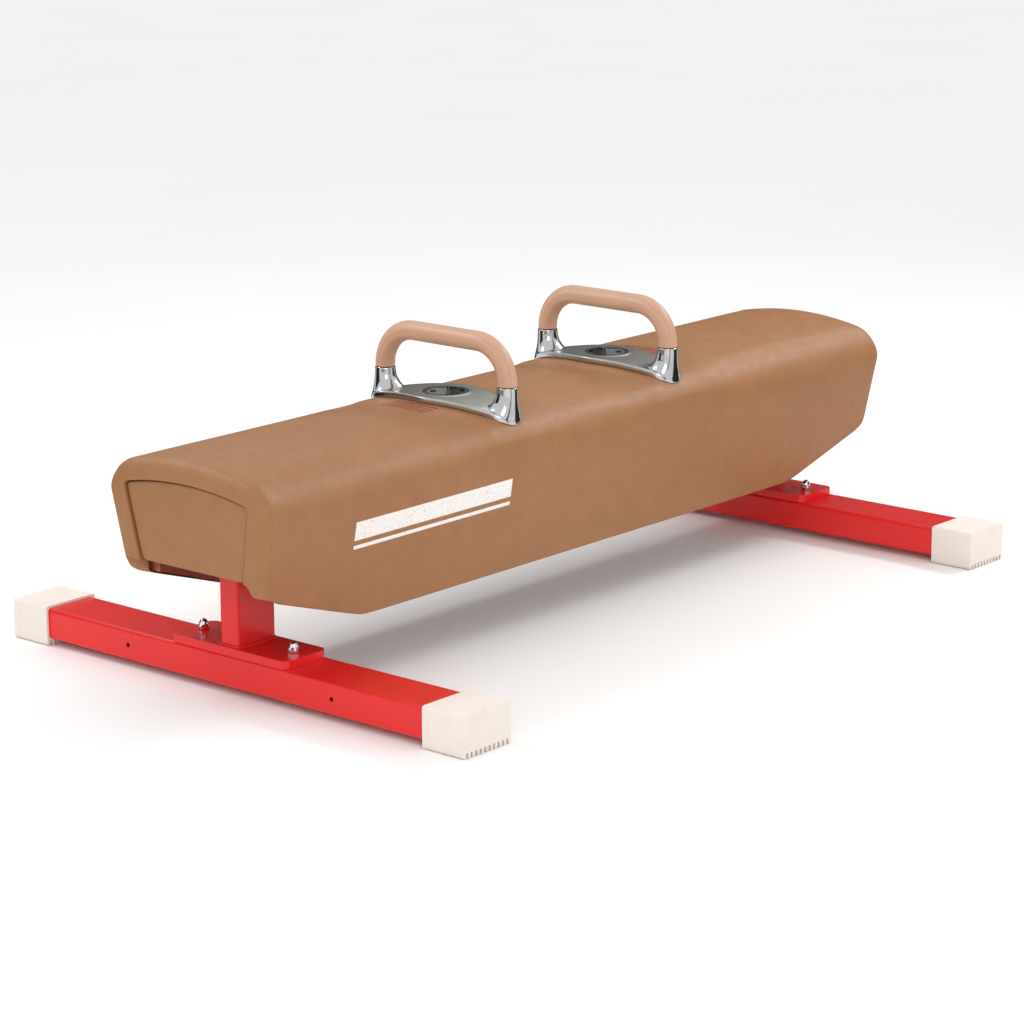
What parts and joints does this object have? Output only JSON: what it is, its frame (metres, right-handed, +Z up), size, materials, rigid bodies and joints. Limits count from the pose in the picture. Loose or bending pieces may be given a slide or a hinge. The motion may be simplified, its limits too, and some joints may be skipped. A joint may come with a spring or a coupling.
{
  "type": "pommel horse",
  "caption": "Low training pommel horse: padded leather body on steel feet, with sliding pommels clamped from above.",
  "frame": {"origin": "on the floor, under the middle of the body", "axes": "+X along the body from the near end to the far end, +Y across it from front to back, +Z up"},
  "size_m": [1.596, 0.974, 0.4994],
  "materials": {
    "leather": "matt tan leather with a soft sheen",
    "foam": "open-cell foam",
    "timber": "planed laminated timber",
    "red_paint": "gloss red paint",
    "steel": "plain steel",
    "bright_plating": "bright plating",
    "cast_aluminium": "satin casting with polished sockets",
    "grip_wood": "smooth pale beech",
    "white_rubber": "matt off-white rubber",
    "black_rubber": "matt black rubber"
  },
  "bodies": {
    "horse": {"leather_cover": "leather", "foam_pad": "foam", "top_board": "timber", "front_side_board": "timber", "back_side_board": "timber", "near_end_board": "timber", "far_end_board": "timber", "near_end_panel": "leather", "far_end_panel": "leather", "front_rail": "steel", "back_rail": "steel", "near_slot_liner": "steel", "far_slot_liner": "steel", "near_beam": "red_paint", "near_foot_plate": "red_paint", "near_column": "red_paint", "near_head_plate": "red_paint", "near_front_rubber_foot": "white_rubber", "near_back_rubber_foot": "white_rubber", "near_front_base_bolt": "bright_plating", "near_back_base_bolt": "bright_plating", "near_front_dome_nut": "bright_plating", "near_back_dome_nut": "bright_plating", "near_front_head_bolt": "steel", "near_back_head_bolt": "steel", "far_beam": "red_paint", "far_foot_plate": "red_paint", "far_column": "red_paint", "far_head_plate": "red_paint", "far_front_rubber_foot": "white_rubber", "far_back_rubber_foot": "white_rubber", "far_front_base_bolt": "bright_plating", "far_back_base_bolt": "bright_plating", "far_front_dome_nut": "bright_plating", "far_back_dome_nut": "bright_plating", "far_front_head_bolt": "steel", "far_back_head_bolt": "steel"},
    "near_pommel": {"near_saddle": "cast_aluminium", "near_grip": "grip_wood", "near_underlay": "black_rubber", "near_front_grip_screw": "steel", "near_back_grip_screw": "steel"},
    "near_clamp": {"near_clamp_screw": "steel", "near_key_pin": "steel"},
    "near_key": {"near_clamp_key": "bright_plating"},
    "near_clamp_nut": {"near_clamp_plate": "steel"},
    "far_pommel": {"far_saddle": "cast_aluminium", "far_grip": "grip_wood", "far_underlay": "black_rubber", "far_front_grip_screw": "steel", "far_back_grip_screw": "steel"},
    "far_clamp": {"far_clamp_screw": "steel", "far_key_pin": "steel"},
    "far_key": {"far_clamp_key": "bright_plating"},
    "far_clamp_nut": {"far_clamp_plate": "steel"}
  },
  "joints": [
    {"name": "near_pommel_slide", "type": "slide", "parent": "horse", "child": "near_pommel", "axis": [1, 0, 0], "range_m": [-0.016, 0.009]},
    {"name": "near_clamp_turn", "type": "hinge", "parent": "near_pommel", "child": "near_clamp", "pos_m": [-0.209, 0, 0.389], "axis": [0, 0, 1], "range_deg": [0, 720]},
    {"name": "near_clamp_drop", "type": "slide", "parent": "near_pommel", "child": "near_clamp_nut", "axis": [0, 0, -1], "range_m": [0, 0.004]},
    {"name": "near_key_fold", "type": "hinge", "parent": "near_clamp", "child": "near_key", "pos_m": [-0.209, 0, 0.3903], "axis": [0.766, 0.6428, 0], "range_deg": [0, 90]},
    {"name": "far_pommel_slide", "type": "slide", "parent": "horse", "child": "far_pommel", "axis": [1, 0, 0], "range_m": [-0.009, 0.016]},
    {"name": "far_clamp_turn", "type": "hinge", "parent": "far_pommel", "child": "far_clamp", "pos_m": [0.209, 0, 0.389], "axis": [0, 0, 1], "range_deg": [0, 720]},
    {"name": "far_clamp_drop", "type": "slide", "parent": "far_pommel", "child": "far_clamp_nut", "axis": [0, 0, -1], "range_m": [0, 0.004]},
    {"name": "far_key_fold", "type": "hinge", "parent": "far_clamp", "child": "far_key", "pos_m": [0.209, 0, 0.3903], "axis": [-0.766, -0.6428, 0], "range_deg": [0, 90]}
  ],
  "couplings": [
    {"joint": "near_clamp_turn", "follows": "near_clamp_drop", "rad_per_m": 3141.6},
    {"joint": "far_clamp_turn", "follows": "far_clamp_drop", "rad_per_m": 3141.6}
  ]
}
